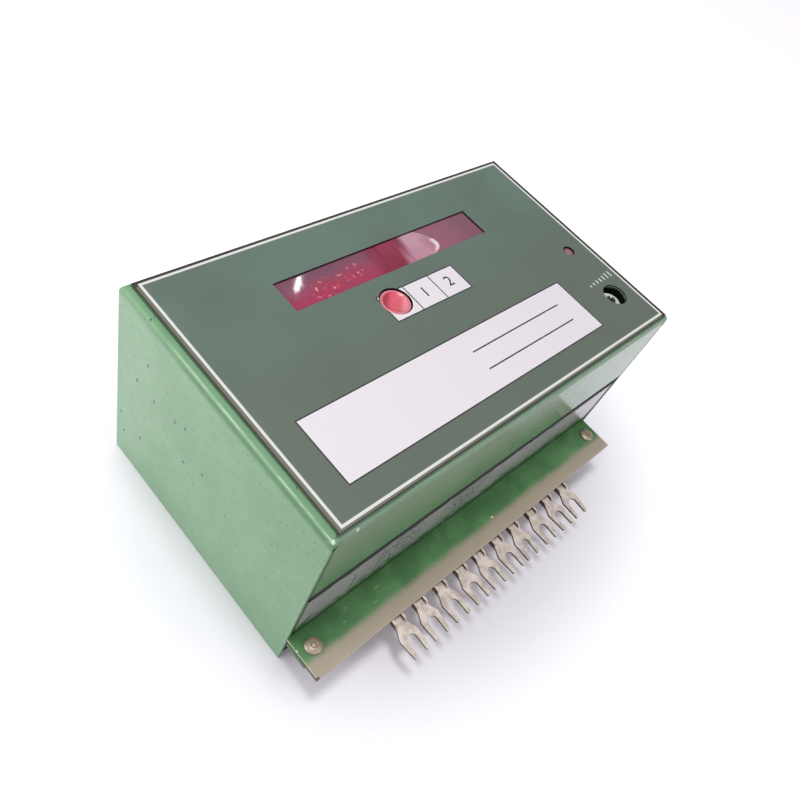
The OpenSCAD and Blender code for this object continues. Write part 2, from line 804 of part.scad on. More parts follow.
// Bent plate with two wings that stands on the power board
module heat_sink() {
    color("#8f8f8c") translate([regulator_x - sink_w / 2, regulator_y, power_top])
        linear_extrude(sink_h) difference() {
            square([sink_w, sink_wing]);
            translate([sink_t, sink_t]) square([sink_w - 2 * sink_t, sink_wing]);
        }
}

// Transformer: laminated core, coil round its middle leg, strap with two feet
module transformer_core() {
    color("#5b5b5e") translate([core_x, 0, back_t + core_h / 2]) difference() {
        cube([core_l, core_d, core_h], center = true);
        for (s = [-1, 1]) translate([s * 1.5 * core_leg, 0, 0])
            cube([core_leg, core_d + 2 * over, core_h - 2 * core_leg], center = true);
    }
}

module transformer_coil() {
    coil_h = core_h - 2 * core_leg - 2 * seat_gap;
    color("#d8c27a") translate([core_x, 0, back_t + core_h / 2]) difference() {
        cube([4 * core_leg - 2 * seat_gap, core_d + 2 * core_leg, coil_h], center = true);
        cube([2 * core_leg + 2 * running, core_d + 2 * running, coil_h + 2 * over], center = true);
    }
}

function strap_screw_x() = core_l / 2 + strap_t + strap_foot / 2 + 0.5;

module transformer_strap() {
    half = core_l / 2 + running;
    top = back_t + core_h + running;
    foot = half + strap_t + strap_foot;
    color("#9a9a94") translate([core_x, 0, 0]) difference() {
        translate([0, strap_d / 2, 0]) rotate([90, 0, 0]) linear_extrude(strap_d) {
            for (s = [0, 1]) mirror([s, 0]) {
                translate([half, back_t]) square([strap_t, top + strap_t - back_t]);
                translate([half, back_t]) square([foot - half, strap_t]);
            }
            translate([-half, top]) square([2 * half, strap_t]);
        }
        for (s = [-1, 1]) translate([s * strap_screw_x(), 0, back_t - over])
            cylinder(d = hole_d, h = strap_t + 2 * over);
    }
}

module transformer_screws() {
    color("#c0c0c0") for (s = [-1, 1])
        translate([core_x + s * strap_screw_x(), 0, back_t + strap_t]) pan_screw(strap_t + back_t - 0.3);
}

cover();
overlay();
display_window();
chassis();
back_plate();
terminal_board();
rivet_left();
rivet_right();
for (i = [1:fork_count]) fork(i - 1);
push_button();
button_spring();
switch_body();
indicator_led();
sensitivity_pot();
pot_shaft();
front_board();
front_standoffs();
front_screws();
for (i = [1:digit_count]) digit(i - 1);
main_board();
main_standoffs();
for (i = [1:6]) chip(i - 1);
link_header();
back_posts();
back_screws();
cover_screws();
power_board();
power_spacers();
filter_capacitor();
bridge_rectifier();
voltage_regulator();
heat_sink();
transformer_core();
transformer_coil();
transformer_strap();
transformer_screws();
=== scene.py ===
import json
import math

import bpy
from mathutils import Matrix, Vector


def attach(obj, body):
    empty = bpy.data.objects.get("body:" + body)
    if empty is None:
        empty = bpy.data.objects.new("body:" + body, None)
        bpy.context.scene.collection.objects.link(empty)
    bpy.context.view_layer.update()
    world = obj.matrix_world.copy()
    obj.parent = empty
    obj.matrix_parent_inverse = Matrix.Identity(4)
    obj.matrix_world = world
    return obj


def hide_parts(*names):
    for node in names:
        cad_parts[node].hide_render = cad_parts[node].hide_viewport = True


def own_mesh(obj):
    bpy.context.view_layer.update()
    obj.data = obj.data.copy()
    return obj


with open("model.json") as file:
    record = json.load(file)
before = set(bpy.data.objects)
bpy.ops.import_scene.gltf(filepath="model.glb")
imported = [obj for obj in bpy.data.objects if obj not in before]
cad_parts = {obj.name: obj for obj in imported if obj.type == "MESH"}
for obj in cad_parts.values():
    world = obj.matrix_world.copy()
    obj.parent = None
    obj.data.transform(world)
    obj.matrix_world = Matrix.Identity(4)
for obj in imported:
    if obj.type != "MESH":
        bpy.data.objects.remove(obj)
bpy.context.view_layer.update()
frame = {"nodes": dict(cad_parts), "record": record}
nodes = frame["nodes"]
mm = 0.001
print("frame loaded:", len(nodes), "nodes")


def only(piece):  # the one selected and active object
    bpy.ops.object.select_all(action="DESELECT")
    piece.select_set(True)
    bpy.context.view_layer.objects.active = piece


def applyModifier(piece, kind, **settings):
    only(piece)
    bpy.ops.object.modifier_add(type=kind)
    modifier = piece.modifiers[-1]
    for key, value in settings.items():
        setattr(modifier, key, value)
    bpy.ops.object.modifier_apply(modifier=modifier.name)


def settle(piece):  # place, turn and scale go into the mesh
    only(piece)
    bpy.ops.object.transform_apply(location=True, rotation=True, scale=True)


def smooth(piece, angle=35):
    only(piece)
    bpy.ops.object.shade_smooth_by_angle(angle=math.radians(angle))
    applyModifier(piece, "WEIGHTED_NORMAL", mode="FACE_AREA", weight=60, keep_sharp=True)


def finishPiece(piece, paint, body, slotName, *stoodFor):
    piece.data.materials.clear()
    piece.data.materials.append(paint)
    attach(piece, body)
    if stoodFor:
        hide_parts(*stoodFor)


mending = {"merge": 0.002, "flat": 0.4, "corner": 32}  # millimetres, then degrees


def merged(nodeName, name):  # a CAD piece's own mesh, its points joined up
    piece = bpy.data.objects.new(name, nodes[nodeName].data.copy())
    bpy.context.collection.objects.link(piece)
    only(piece)
    bpy.ops.mesh.customdata_custom_splitnormals_clear()
    bpy.ops.object.mode_set(mode="EDIT")
    bpy.ops.mesh.select_all(action="SELECT")
    bpy.ops.mesh.remove_doubles(threshold=mending["merge"] * mm)
    bpy.ops.object.mode_set(mode="OBJECT")
    return piece


def softened(nodeName, edge, segments=2):  # a CAD piece's own shape with its edges broken
    piece = merged(nodeName, "soft_" + nodeName)
    bpy.ops.object.mode_set(mode="EDIT")
    bpy.ops.mesh.select_all(action="SELECT")
    bpy.ops.mesh.dissolve_limited(angle_limit=math.radians(mending["flat"]))
    bpy.ops.object.mode_set(mode="OBJECT")
    applyModifier(piece, "BEVEL", width=edge * mm, segments=segments, limit_method="ANGLE",
                  angle_limit=math.radians(mending["corner"]), use_clamp_overlap=True)
    smooth(piece)
    return piece


def shiftPoints(piece, picked, move):  # points picked by their place in mm, moved in edit mode
    only(piece)
    bpy.ops.object.mode_set(mode="EDIT")
    bpy.ops.mesh.select_mode(type="VERT")
    bpy.ops.mesh.select_all(action="DESELECT")
    bpy.ops.object.mode_set(mode="OBJECT")
    for point in piece.data.vertices:
        point.select = picked(*(point.co / mm))
    bpy.ops.object.mode_set(mode="EDIT")
    bpy.ops.transform.translate(value=[step * mm for step in move])
    bpy.ops.object.mode_set(mode="OBJECT")


sideMarks = {"tipFacing": -0.6, "tipShare": 0.3}


def markSides(piece):  # kept on each face for the painted shade: 0 where it lies flat, 1 where it stands, less at the tips
    lean = piece.data.attributes.new("side", "FLOAT", "FACE")
    values = []
    for face in piece.data.polygons:
        share = sideMarks["tipShare"] if face.normal.y < sideMarks["tipFacing"] else 1
        values.append((1 - abs(face.normal.z)) * share)
    lean.data.foreach_set("value", values)


def turned(name, place, profile, sides=72):  # a round piece, ring by ring from its foot
    r, z = profile[0]
    bpy.ops.object.select_all(action="DESELECT")
    bpy.ops.mesh.primitive_circle_add(vertices=sides, radius=r * mm, fill_type="NGON",
                                      location=(place[0] * mm, place[1] * mm, z * mm))
    piece = bpy.context.object
    piece.name = name
    settle(piece)
    bpy.ops.object.mode_set(mode="EDIT")
    bpy.ops.mesh.select_all(action="SELECT")
    for nextR, nextZ in profile[1:]:
        bpy.ops.mesh.extrude_region_move(TRANSFORM_OT_translate={"value": (0, 0, (nextZ - z) * mm)})
        bpy.ops.transform.resize(value=(nextR / r, nextR / r, 1),
                                 center_override=(place[0] * mm, place[1] * mm, nextZ * mm))
        r, z = nextR, nextZ
    bpy.ops.mesh.select_all(action="SELECT")
    bpy.ops.mesh.normals_make_consistent(inside=False)
    bpy.ops.object.mode_set(mode="OBJECT")
    smooth(piece, 40)
    return piece


class Value:  # a socket that can stand in an expression
    def __init__(self, paint, socket):
        self.paint = paint
        self.socket = socket

    def __add__(self, other):
        return self.paint.math("ADD", self, other)

    def __radd__(self, other):
        return self.paint.math("ADD", other, self)

    def __sub__(self, other):
        return self.paint.math("SUBTRACT", self, other)

    def __rsub__(self, other):
        return self.paint.math("SUBTRACT", other, self)

    def __mul__(self, other):
        return self.paint.math("MULTIPLY", self, other)

    def __rmul__(self, other):
        return self.paint.math("MULTIPLY", other, self)

    def __abs__(self):
        return self.paint.math("ABSOLUTE", self)


def colour(r, g, b):  # written as 0 to 255, as a paint program shows it
    channels = [c / 255 for c in (r, g, b)]
    return tuple(c / 12.92 if c <= 0.04045 else ((c + 0.055) / 1.055) ** 2.4 for c in channels) + (1.0,)


class Nodes:  # a node tree that expressions add to
    def __init__(self, owner):
        owner.use_nodes = True
        self.tree = owner.node_tree
        self.tree.nodes.clear()

    def axes(self, vector):
        return [Value(self, axis) for axis in self.add("ShaderNodeSeparateXYZ", {}, {0: vector}).outputs]

    def add(self, kind, settings=None, sockets=None):  # every node comes from here
        node = self.tree.nodes.new(kind)
        for key, value in (settings or {}).items():
            setattr(node, key, value)
        for key, value in (sockets or {}).items():
            value = getattr(value, "socket", value)
            if isinstance(value, bpy.types.NodeSocket):
                self.tree.links.new(value, node.inputs[key])
            else:
                node.inputs[key].default_value = value
        return node

    def math(self, operation, *values):
        node = self.add("ShaderNodeMath", {"operation": operation}, dict(enumerate(values)))
        return Value(self, node.outputs[0])

    def most(self, a, b):
        return self.math("MAXIMUM", a, b)

    def step(self, value, low, high):  # 0 at low, 1 at high, soft between
        node = self.add("ShaderNodeMapRange", {"interpolation_type": "SMOOTHSTEP"},
                        {"Value": value, "From Min": low, "From Max": high})
        return Value(self, node.outputs[0])

    def mix(self, mask, under, over):
        node = self.add("ShaderNodeMix", {"data_type": "RGBA"}, {0: mask, 6: under, 7: over})
        return node.outputs[2]


socketNames = {"base": "Base Color", "rough": "Roughness", "metal": "Metallic", "normal": "Normal",
               "coat": "Coat Weight", "coatRough": "Coat Roughness", "alpha": "Alpha",
               "gloss": "Specular IOR Level", "depth": "Subsurface Weight", "depthScale": "Subsurface Scale"}


class Paint(Nodes):  # one material and the nodes in it, measured in millimetres
    def __init__(self, name):
        self.material = bpy.data.materials.new(name)
        super().__init__(self.material)
        self.shader = self.add("ShaderNodeBsdfPrincipled")
        self.output = self.add("ShaderNodeOutputMaterial", {}, {"Surface": self.shader.outputs[0]})
        place = self.add("ShaderNodeTexCoord").outputs["Object"]
        self.point = self.add("ShaderNodeVectorMath", {"operation": "SCALE"},
                              {0: place, "Scale": 1000}).outputs[0]
        self.x, self.y, self.z = self.axes(self.point)

    def stretched(self, stretch):
        if stretch is None:
            return self.point
        return self.add("ShaderNodeVectorMath", {"operation": "MULTIPLY"},
                        {0: self.point, 1: stretch}).outputs[0]

    def noise(self, size, detail=2.0, rough=0.5, stretch=None, warp=0.0):
        node = self.add("ShaderNodeTexNoise", {}, {"Vector": self.stretched(stretch), "Scale": 1 / size,
                                                   "Detail": detail, "Roughness": rough, "Distortion": warp})
        return Value(self, node.outputs["Fac"])

    def specks(self, size, radius, share, stretch=None):  # scattered dots, on a share of the cells
        node = self.add("ShaderNodeTexVoronoi", {}, {"Vector": self.stretched(stretch), "Scale": 1 / size,
                                                     "Randomness": 1.0})
        tint = self.add("ShaderNodeSeparateColor", {}, {0: node.outputs["Color"]}).outputs
        dot = self.step(Value(self, node.outputs["Distance"]), radius / size, 0.5 * radius / size)
        return dot * self.step(Value(self, tint[0]), 1 - share, 1.02 - share)

    def near(self, place, reach, soft=0.6):  # 1 inside an ellipsoid round a place
        gap = self.add("ShaderNodeVectorMath", {"operation": "SUBTRACT"}, {0: self.point, 1: place}).outputs[0]
        gap = self.add("ShaderNodeVectorMath", {"operation": "DIVIDE"}, {0: gap, 1: reach}).outputs[0]
        far = self.add("ShaderNodeVectorMath", {"operation": "LENGTH"}, {0: gap}).outputs["Value"]
        return self.step(Value(self, far), 1, soft)

    def rectangle(self, x0, x1, y0, y1):  # distance from a rectangle's edge, below 0 inside
        dx = abs(self.x - (x0 + x1) / 2) - (x1 - x0) / 2
        dy = abs(self.y - (y0 + y1) / 2) - (y1 - y0) / 2
        return self.most(dx, dy)

    def round(self, across, up):  # angle round a fold or a rim, in radians from straight up
        return self.math("ARCTAN2", across, up)

    def own(self, name):  # a value kept on the piece's own faces
        return Value(self, self.add("ShaderNodeAttribute", {"attribute_name": name}).outputs["Fac"])

    def bump(self, height, depth):
        sockets = {"Height": height, "Strength": 1.0, "Distance": depth * mm}
        return self.add("ShaderNodeBump", {}, sockets).outputs[0]

    def finish(self, **sockets):
        for key, value in sockets.items():
            name = socketNames[key]
            value = getattr(value, "socket", value)
            if isinstance(value, bpy.types.NodeSocket):
                self.tree.links.new(value, self.shader.inputs[name])
            else:
                self.shader.inputs[name].default_value = value
        return self.material


bpy.ops.object.select_all(action="DESELECT")


view = {"place": (-0.15109923, -0.08140819, 0.22556346), "turn": (38.07613, -17.58290, -43.17021),
        "lens": 33.89926, "sensor": 36, "shift": (-0.015462, 0.001257), "clip": 0.01}

bpy.ops.object.camera_add(location=view["place"], rotation=[math.radians(a) for a in view["turn"]])
camera = bpy.context.object
camera.data.lens = view["lens"]
camera.data.sensor_width = view["sensor"]
camera.data.shift_x, camera.data.shift_y = view["shift"]
camera.data.clip_start = view["clip"]
bpy.context.scene.camera = camera
bpy.context.scene.view_settings.view_transform = "Standard"

table = {"size": 9, "colour": (246, 241, 250), "cloud": (250, 247, 253), "cloudSize": 220, "lift": 0.4,
         "liftNear": 0.03, "liftTint": (252, 250, 255), "round": (0, -10, 0), "reach": (150, 120, 60)}


def tablePaint():
    paint = Paint("whiteTable")
    cloud = paint.noise(table["cloudSize"], 2)
    base = paint.mix(cloud, colour(*table["colour"]), colour(*table["cloud"]))
    paint.finish(base=base, rough=0.6, gloss=0.3)
    ray = paint.add("ShaderNodeLightPath").outputs
    seen = paint.most(paint.most(ray["Is Camera Ray"], ray["Is Glossy Ray"]), ray["Is Transmission Ray"])
    around = paint.near(table["round"], table["reach"], 0.5)
    level = table["lift"] + (table["liftNear"] - table["lift"]) * around
    lift = paint.add("ShaderNodeEmission", {}, {"Color": colour(*table["liftTint"]), "Strength": seen * level})
    both = paint.add("ShaderNodeAddShader", {}, {0: paint.shader.outputs[0], 1: lift.outputs[0]})
    paint.tree.links.new(both.outputs[0], paint.output.inputs["Surface"])
    return paint.material


bpy.ops.mesh.primitive_plane_add(size=table["size"])
floor = bpy.context.object
floor.name = "table"
floor.data.materials.append(tablePaint())

lamps = {"skyHigh": 0.40, "skyLow": 0.31, "skyTint": (250, 250, 255), "horizon": 0.25, "openSide": (0.7, 0.6, 0.6),
         "key": {"place": (-0.25, 0.95, 1.3), "power": 1.6, "shape": "SQUARE", "size": (1.0, 1.0)},
         "top": {"place": (-0.06, 0.16, 1.6), "power": 9.0, "shape": "SQUARE", "size": (0.35, 0.35)},
         "fill": {"place": (0.35, -1.0, 0.8), "power": 2.4, "shape": "SQUARE", "size": (0.9, 0.9)},
         "side": {"place": (-0.38, 0.13, 0.11), "power": 0.76, "shape": "SQUARE", "size": (0.24, 0.24)},
         "strip": {"place": (0.5115, 0.5094, 0.7696), "target": (-0.034, 0.0248, 0.0756), "power": 0.011,
                   "shape": "RECTANGLE", "size": (0.0065, 0.02)}}


def softSky():  # bright overhead and to the far left, dim behind the camera and low down
    world = bpy.data.worlds.new("softSky")
    bpy.context.scene.world = world
    sky = Nodes(world)
    x, y, z = sky.axes(sky.add("ShaderNodeTexCoord").outputs["Generated"])
    left, far, up = lamps["openSide"]
    openSide = sky.step(far * y + up * z - left * x, -0.5, 0.6)
    level = lamps["skyLow"] + (lamps["skyHigh"] - lamps["skyLow"]) * openSide
    level = level * (lamps["horizon"] + (1 - lamps["horizon"]) * sky.step(z, 0.02, 0.4))
    light = sky.add("ShaderNodeBackground", {}, {"Color": colour(*lamps["skyTint"]), "Strength": level})
    sky.add("ShaderNodeOutputWorld", {}, {"Surface": light.outputs[0]})


def aimedLamp(name, place, power, shape, size, target=(0, 0, 0.03)):
    bpy.ops.object.light_add(type="AREA", location=place)
    lamp = bpy.context.object
    lamp.name = name
    lamp.rotation_euler = (Vector(target) - Vector(place)).to_track_quat("-Z", "Y").to_euler()
    lamp.data.energy = power
    lamp.data.shape = shape
    lamp.data.size, lamp.data.size_y = size


softSky()
for lampName in ("key", "top", "fill", "side", "strip"):
    aimedLamp(lampName + "Lamp", **lamps[lampName])
print("camera, table and light set")


greenSettings = {"base": (118, 160, 120), "shade": (108, 151, 110), "speck": (34, 56, 36), "wearAndHighlight": (208, 234, 204),
                 "dark": (54, 112, 56), "inside": (16, 24, 16), "windowWall": (44, 20, 28),
                 "window": (-41.5, 40.7, 15, 27), "foldAxis": (-73.2, -41.45, 72.7),
                 "overlayRim": (-73.95, 73.95, -43.45, 42.6),
                 "holes": {"adjuster": (63, -27.6, 4.45), "button": (-11.6, 5.4, 5.25),
                           "indicator": (63.8, -5, 2.15)},
                 "wornSpots": [((-68.35, -44.4, 74.0), (0.7, 1, 0.8)), ((-75.4, -43.6, 74.6), (0.6, 0.8, 0.8))],
                 "leftFace": -76.2, "speckSize": (0.8, 0.5, 0.8),
                 "specksLeft": [(29.6, 57.8), (34.4, 46.1), (25.8, 45.9), (42.2, 21.5), (31.4, 20.3),
                                (11.1, 51.0), (15.6, 48.7), (40.3, 13.4), (1.5, 40.7), (10.1, 35.7)]}


def greenPaint():
    paint = Paint("greenPaint")
    s = greenSettings
    x, y, z = paint.x, paint.y, paint.z
    cloud = paint.noise(26, 3) * 0.7 + paint.noise(3.5, 3) * 0.3
    base = paint.mix(paint.step(cloud, 0.35, 0.65), colour(*s["shade"]), colour(*s["base"]))
    fine = paint.specks(3.4, 0.42, 0.3, (1, 1, 0.8))
    fine = paint.most(fine, paint.specks(1.9, 0.28, 0.3) * 0.9)
    for py, pz in s["specksLeft"]:  # the larger marks on the left end
        fine = paint.most(fine, paint.near((s["leftFace"], py, pz), s["speckSize"], 0.7))
    base = paint.mix(fine, base, colour(*s["speck"]))
    leftFold = paint.round(s["foldAxis"][0] - x, z - s["foldAxis"][2])
    nearFold = paint.round(s["foldAxis"][1] - y, z - s["foldAxis"][2])
    # worn ridge along the left fold, partly a painted highlight, fading towards the far end, with a band of painted
    # shade under it
    patch = paint.step(paint.noise(2.2, 4, 0.7, (0.5, 0.3, 1)), 0.42, 0.56)
    ridge = paint.step(abs(leftFold - 0.92), 0.12, 0.03) * (0.1 + 0.9 * paint.step(y, 27, 6))
    ridge = ridge * (0.25 + 0.75 * patch)
    band = paint.step(leftFold, 1.05, 1.2) * paint.step(leftFold, 2.1, 1.5) * (0.3 + 0.7 * paint.step(y, 32, 4))
    nicks = paint.step(paint.noise(1.6, 3, 0.6, (1, 0.35, 1)), 0.66, 0.72) * paint.step(z, 73.4, 74.2)
    nicks = nicks * paint.step(paint.noise(9, 1), 0.45, 0.6)
    # the near fold has a painted highlight line with real scratches along it, and a line of painted shade below
    scratch = paint.step(paint.noise(0.5, 3, 0.6, (0.03, 1, 1)), 0.42, 0.62)
    nearLine = paint.step(abs(nearFold - 0.9), 0.26, 0.06) * (0.4 + 0.6 * scratch)
    nearFoldShade = paint.step(abs(nearFold - 1.38), 0.12, 0.04)
    # real nicks and chips, with the ridge and the near fold's pale line as painted highlights
    wearAndHighlight = paint.most(ridge * 0.5, paint.most(nicks * 0.6, nearLine * 0.35))
    for place, reach in s["wornSpots"]:
        wearAndHighlight = paint.most(wearAndHighlight, paint.near(place, reach))
    base = paint.mix(wearAndHighlight, base, colour(*s["wearAndHighlight"]))
    # painted shadow round the overlay's edge, mixed with the band and the near fold's line as painted shade
    overlayShadow = paint.step(abs(paint.rectangle(*s["overlayRim"]) - 0.14), 0.24, 0.12) * paint.step(z, 74.6, 75.2)
    shade = paint.most(band * 0.72, paint.most(nearFoldShade * 0.5, overlayShadow * 0.85))
    base = paint.mix(shade, base, colour(*s["dark"]))
    for name, (px, py, r) in s["holes"].items():  # cut edges down in the holes, out of the light
        within = paint.near((px, py, 75), (r + 0.4, r + 0.4, 9), 0.96)
        base = paint.mix(within, base, colour(*s["inside"]))
        if name == "adjuster":  # a painted highlight round its edge
            line = within * paint.step(abs(z - 75.4), 0.16, 0.06) * 0.7
            base = paint.mix(line, base, colour(*s["wearAndHighlight"]))
    # the display opening's walls painted dark purple, as shade tinted by the red film
    base = paint.mix(paint.step(paint.rectangle(*s["window"]), 0, -0.2), base, colour(*s["windowWall"]))
    peel = paint.noise(0.9, 2) * 0.5 + paint.noise(7, 1) * 0.5 - fine * 0.15 - wearAndHighlight * 0.5
    rough = 0.13 + 0.09 * paint.noise(12, 3) + 0.15 * wearAndHighlight
    rough = rough + 0.32 * paint.step(leftFold, 0.0, 0.2) * paint.step(leftFold, 1.5, 1.2)
    return paint.finish(base=base, rough=rough, normal=paint.bump(peel, 0.014))


panelSettings = {"near": (106, 118, 106), "far": (108, 131, 118), "shade": (100, 113, 102), "line": (240, 240, 234),
                 "margin": (120, 122, 109), "marginFar": (54, 46, 44), "rim": (44, 46, 38), "edge": (40, 30, 32),
                 "label": (249, 243, 247), "labelShade": (247, 238, 245), "ink": (52, 46, 48), "dust": (70, 66, 60),
                 "overlay": (-73.95, 73.95, -43.45, 42.6), "border": (-72.25, 72.25, -42.05, 41.25),
                 "borderWidth": 0.8, "outline": 0.4, "cutEdge": 76.08,
                 "nameLabel": (-63.4, 46.0, -34.4, -13.8), "cellLabel": (-16.3, 15.55, -1.0, 8.8),
                 "cells": (-5.8, 4.9)}


def printedPanel():
    paint = Paint("printedPanel")
    s = panelSettings
    cloud = paint.noise(38, 2) * 0.8 + paint.noise(1.2, 2) * 0.2
    base = paint.mix(paint.step(paint.y, -20, 36), colour(*s["near"]), colour(*s["far"]))
    base = paint.mix(paint.step(cloud, 0.62, 0.3) * 0.7, base, colour(*s["shade"]))
    frameGap = paint.rectangle(*s["border"])
    # the margin outside the border line, its brown tint a painted reflection; on the far and right sides it is
    # painted dark as shade
    base = paint.mix(paint.step(frameGap, 0.3, 0.5), base, colour(*s["margin"]))
    farSide = paint.most(paint.step(paint.x, 71.5, 72.2), paint.step(paint.y, 40.5, 41.2))
    base = paint.mix(paint.step(frameGap, 0.3, 0.5) * farSide * 0.9, base, colour(*s["marginFar"]))
    half = s["borderWidth"] / 2
    base = paint.mix(paint.step(abs(frameGap), half + 0.06, half - 0.06), base, colour(*s["line"]))
    # painted shade along the overlay's outer rim
    base = paint.mix(paint.step(paint.rectangle(*s["overlay"]), -0.5, -0.3) * 0.85, base, colour(*s["rim"]))
    white = paint.mix(paint.step(paint.x, -45, 40), colour(*s["label"]), colour(*s["labelShade"]))
    for field in ("nameLabel", "cellLabel"):  # white fields with a thin dark outline
        gap = paint.rectangle(*s[field])
        base = paint.mix(paint.step(gap, s["outline"] + 0.08, s["outline"] - 0.08), base, colour(*s["ink"]))
        base = paint.mix(paint.step(gap, 0.06, -0.06), base, white)
    inCells = paint.step(paint.rectangle(*s["cellLabel"]), 0.02, -0.02)
    for place in s["cells"]:
        base = paint.mix(paint.step(abs(paint.x - place), 0.26, 0.14) * inCells, base, colour(*s["ink"]))
    dust = paint.specks(5, 0.22, 0.2)
    base = paint.mix(dust * 0.5, base, colour(*s["dust"]))
    # the overlay's cut edges and hole walls painted dark, as shade
    base = paint.mix(paint.step(paint.z, s["cutEdge"], s["cutEdge"] - 0.06), base, colour(*s["edge"]))
    grain = paint.noise(0.5, 2)
    rough = 0.38 + 0.12 * paint.noise(16, 3)
    return paint.finish(base=base, rough=rough, normal=paint.bump(grain, 0.008))


metalSettings = {"base": (216, 209, 213), "dark": (186, 180, 184), "spray": (24, 26, 22), "paint": (62, 110, 60),
                 "gap": (14, 16, 12), "chipColour": (225, 220, 200), "chip": ((-10.6, -44.4, 16.4), (0.5, 1, 1.5)),
                 "sprayZones": [((-37, -44.25, 30), (17, 2, 13)), ((-8, -44.25, 30), (16, 2, 14))],
                 "scratches": [((-54.4, 30.1), (-54.2, 16.1)), ((-44.9, 31), (-43.8, 15)),
                               ((-50.5, 24), (-50.8, 17))]}


def bareAluminium():
    paint = Paint("bareAluminium")
    s = metalSettings
    x, y, z = paint.x, paint.y, paint.z
    drawn = paint.noise(1.2, 4, 0.65, (0.05, 1, 1))  # drawn lines along the sheet
    cloud = paint.noise(18, 3)
    base = paint.mix(drawn * 0.5 + cloud * 0.5, colour(*s["dark"]), colour(*s["base"]))
    outer = paint.step(y, -44.0, -44.15)
    zone = paint.most(*[paint.near(place, reach, 0.3) for place, reach in s["sprayZones"]])
    spray = paint.most(paint.step(paint.noise(1.3, 4, 0.7), 0.53, 0.59), paint.specks(1.7, 0.6, 0.7)) * zone
    spray = paint.most(spray, paint.specks(2.2, 0.4, 0.25))
    for a, b in s["scratches"]:  # from the upper end to the lower, in x and z
        lean = x - a[0] - (z - a[1]) * ((b[0] - a[0]) / (b[1] - a[1]))
        line = paint.step(abs(lean + (paint.noise(3, 2) - 0.5) * 1.2), 0.34, 0.12)
        line = line * paint.step(z, b[1] - 1, b[1]) * paint.step(z, a[1] + 1, a[1])
        spray = paint.most(spray, line * 0.85)
    base = paint.mix(spray * outer * 0.95, base, colour(*s["spray"]))
    ragged = paint.step(z + (paint.noise(2.4, 4, 0.7) - 0.5) * 34, 20.6, 19.8) * paint.step(y, -43.6, -44.1)
    chip = paint.near(*s["chip"])
    ragged = paint.most(ragged, paint.step(y, -45.1, -45.3))
    base = paint.mix(ragged, base, colour(*s["paint"]))
    base = paint.mix(chip, base, colour(*s["chipColour"]))
    # painted shade under the lip, and under the flange
    underLip = paint.step(z + (paint.noise(4, 3) - 0.5) * 3, 37.2, 38.4)
    gap = paint.most(underLip, paint.step(z, 12.5, 12.0)) * paint.step(y, -41, -42)
    base = paint.mix(gap, base, colour(*s["gap"]))
    metal = 0.3 * (1 - paint.most(gap, paint.most(ragged, spray * outer)))
    rough = 0.19 + 0.1 * cloud + 0.2 * ragged + 0.4 * gap
    height = drawn * 0.5 + ragged * 0.8
    return paint.finish(base=base, rough=rough, metal=metal, normal=paint.bump(height, 0.012))


laminateSettings = {"cream": (194, 181, 160), "creamDark": (176, 163, 143), "green": (85, 140, 83),
                    "greenLight": (109, 166, 104), "end": (36, 62, 34), "edge": (214, 206, 188), "boundary": -53.4,
                    "fleck": (150, 186, 140), "scuff": (150, 196, 140), "chipColour": (236, 232, 214),
                    "nickColour": (96, 76, 70), "top": 15.3, "nick": ((-75.9, -58.5, 15.3), (0.8, 0.7, 1)),
                    "scuffs": [(-44.2, -47.9, 1.3), (-47.7, -51.3, 1.1), (-56.5, -47.2, 0.8), (-59.3, -50.4, 0.7)],
                    "chips": [((6.6, -52.8, 15.3), (0.7, 0.6, 1)), ((-75.9, -48.8, 15.3), (0.4, 0.5, 1))]}


def terminalLaminate():
    paint = Paint("terminalLaminate")
    s = laminateSettings
    x, y, z = paint.x, paint.y, paint.z
    weave = paint.noise(0.8, 3, 0.6)
    cloud = paint.noise(14, 3)
    cream = paint.mix(cloud * 0.6 + weave * 0.4, colour(*s["creamDark"]), colour(*s["cream"]))
    green = paint.mix(paint.step(paint.noise(11, 4, 0.6), 0.35, 0.7), colour(*s["green"]), colour(*s["greenLight"]))
    green = paint.mix(paint.specks(4.5, 0.3, 0.2) * 0.7, green, colour(*s["fleck"]))
    for px, py, length in s["scuffs"]:
        scuff = paint.near((px, py, s["top"]), (length, 0.35, 1)) * 0.7
        green = paint.mix(scuff, green, colour(*s["scuff"]))
    wander = y + (paint.noise(9, 3) - 0.5) * 1.6
    top = paint.step(z, 15.0, 15.2)
    painted = paint.step(wander, s["boundary"] - 1.6, s["boundary"] + 1.6) * top
    base = paint.mix(painted, cream, green)
    chip = paint.most(*[paint.near(place, reach) for place, reach in s["chips"]])
    base = paint.mix(chip, base, colour(*s["chipColour"]))
    base = paint.mix(paint.step(x, -75.94, -76.06) * top * 0.8, base, colour(*s["edge"]))
    # the board's end face below the cut edge painted dark green, as shade
    base = paint.mix(paint.step(x, -76.06, -76.14) * paint.step(z, 15.12, 15.0), base, colour(*s["end"]))
    cut = paint.step(y, -58.5, -58.6) * paint.step(z, 14.3, 14.6) * paint.step(x, -76.14, -76.06)
    base = paint.mix(cut * 0.9, base, colour(*s["edge"]))
    base = paint.mix(paint.near(*s["nick"]), base, colour(*s["nickColour"]))
    rough = 0.5 - 0.2 * painted + 0.1 * cloud
    height = weave * 0.5 + painted * 0.6
    return paint.finish(base=base, rough=rough, normal=paint.bump(height, 0.02))


tinSettings = {"bright": (252, 240, 230), "dull": (220, 202, 188), "stain": (140, 112, 98), "side": (44, 33, 28)}


